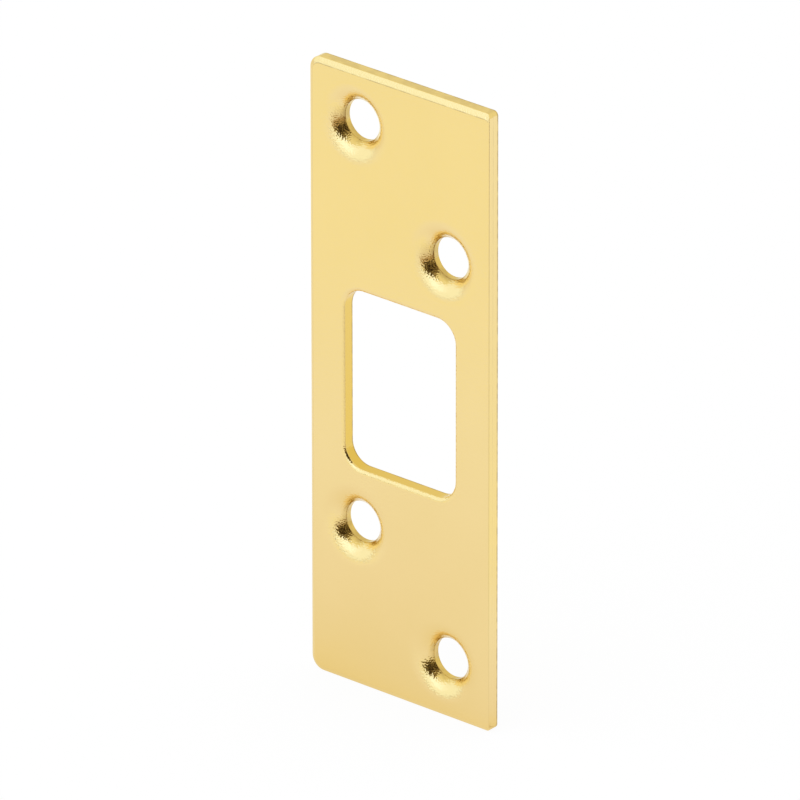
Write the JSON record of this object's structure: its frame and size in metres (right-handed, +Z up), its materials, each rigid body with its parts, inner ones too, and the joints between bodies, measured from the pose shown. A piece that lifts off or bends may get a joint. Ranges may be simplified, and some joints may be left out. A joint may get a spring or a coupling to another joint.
{
  "type": "door strike plate",
  "caption": "Flat rectangular metal plate with a rounded bolt opening in the middle and staggered countersunk screw holes above and below it.",
  "frame": {"origin": "centre of the bolt opening, in the plane of the back face that lies on the door jamb", "axes": "+Z up along the plate, +X across it to the right as seen from the front, +Y out of the back face into the jamb; the face that shows looks towards -Y"},
  "size_m": [0.0318, 0.0027, 0.0922],
  "materials": {
    "plated_steel": "satin brass plating on stamped steel"
  },
  "bodies": {
    "root": {"strike_plate": "plated_steel"}
  },
  "joints": []
}
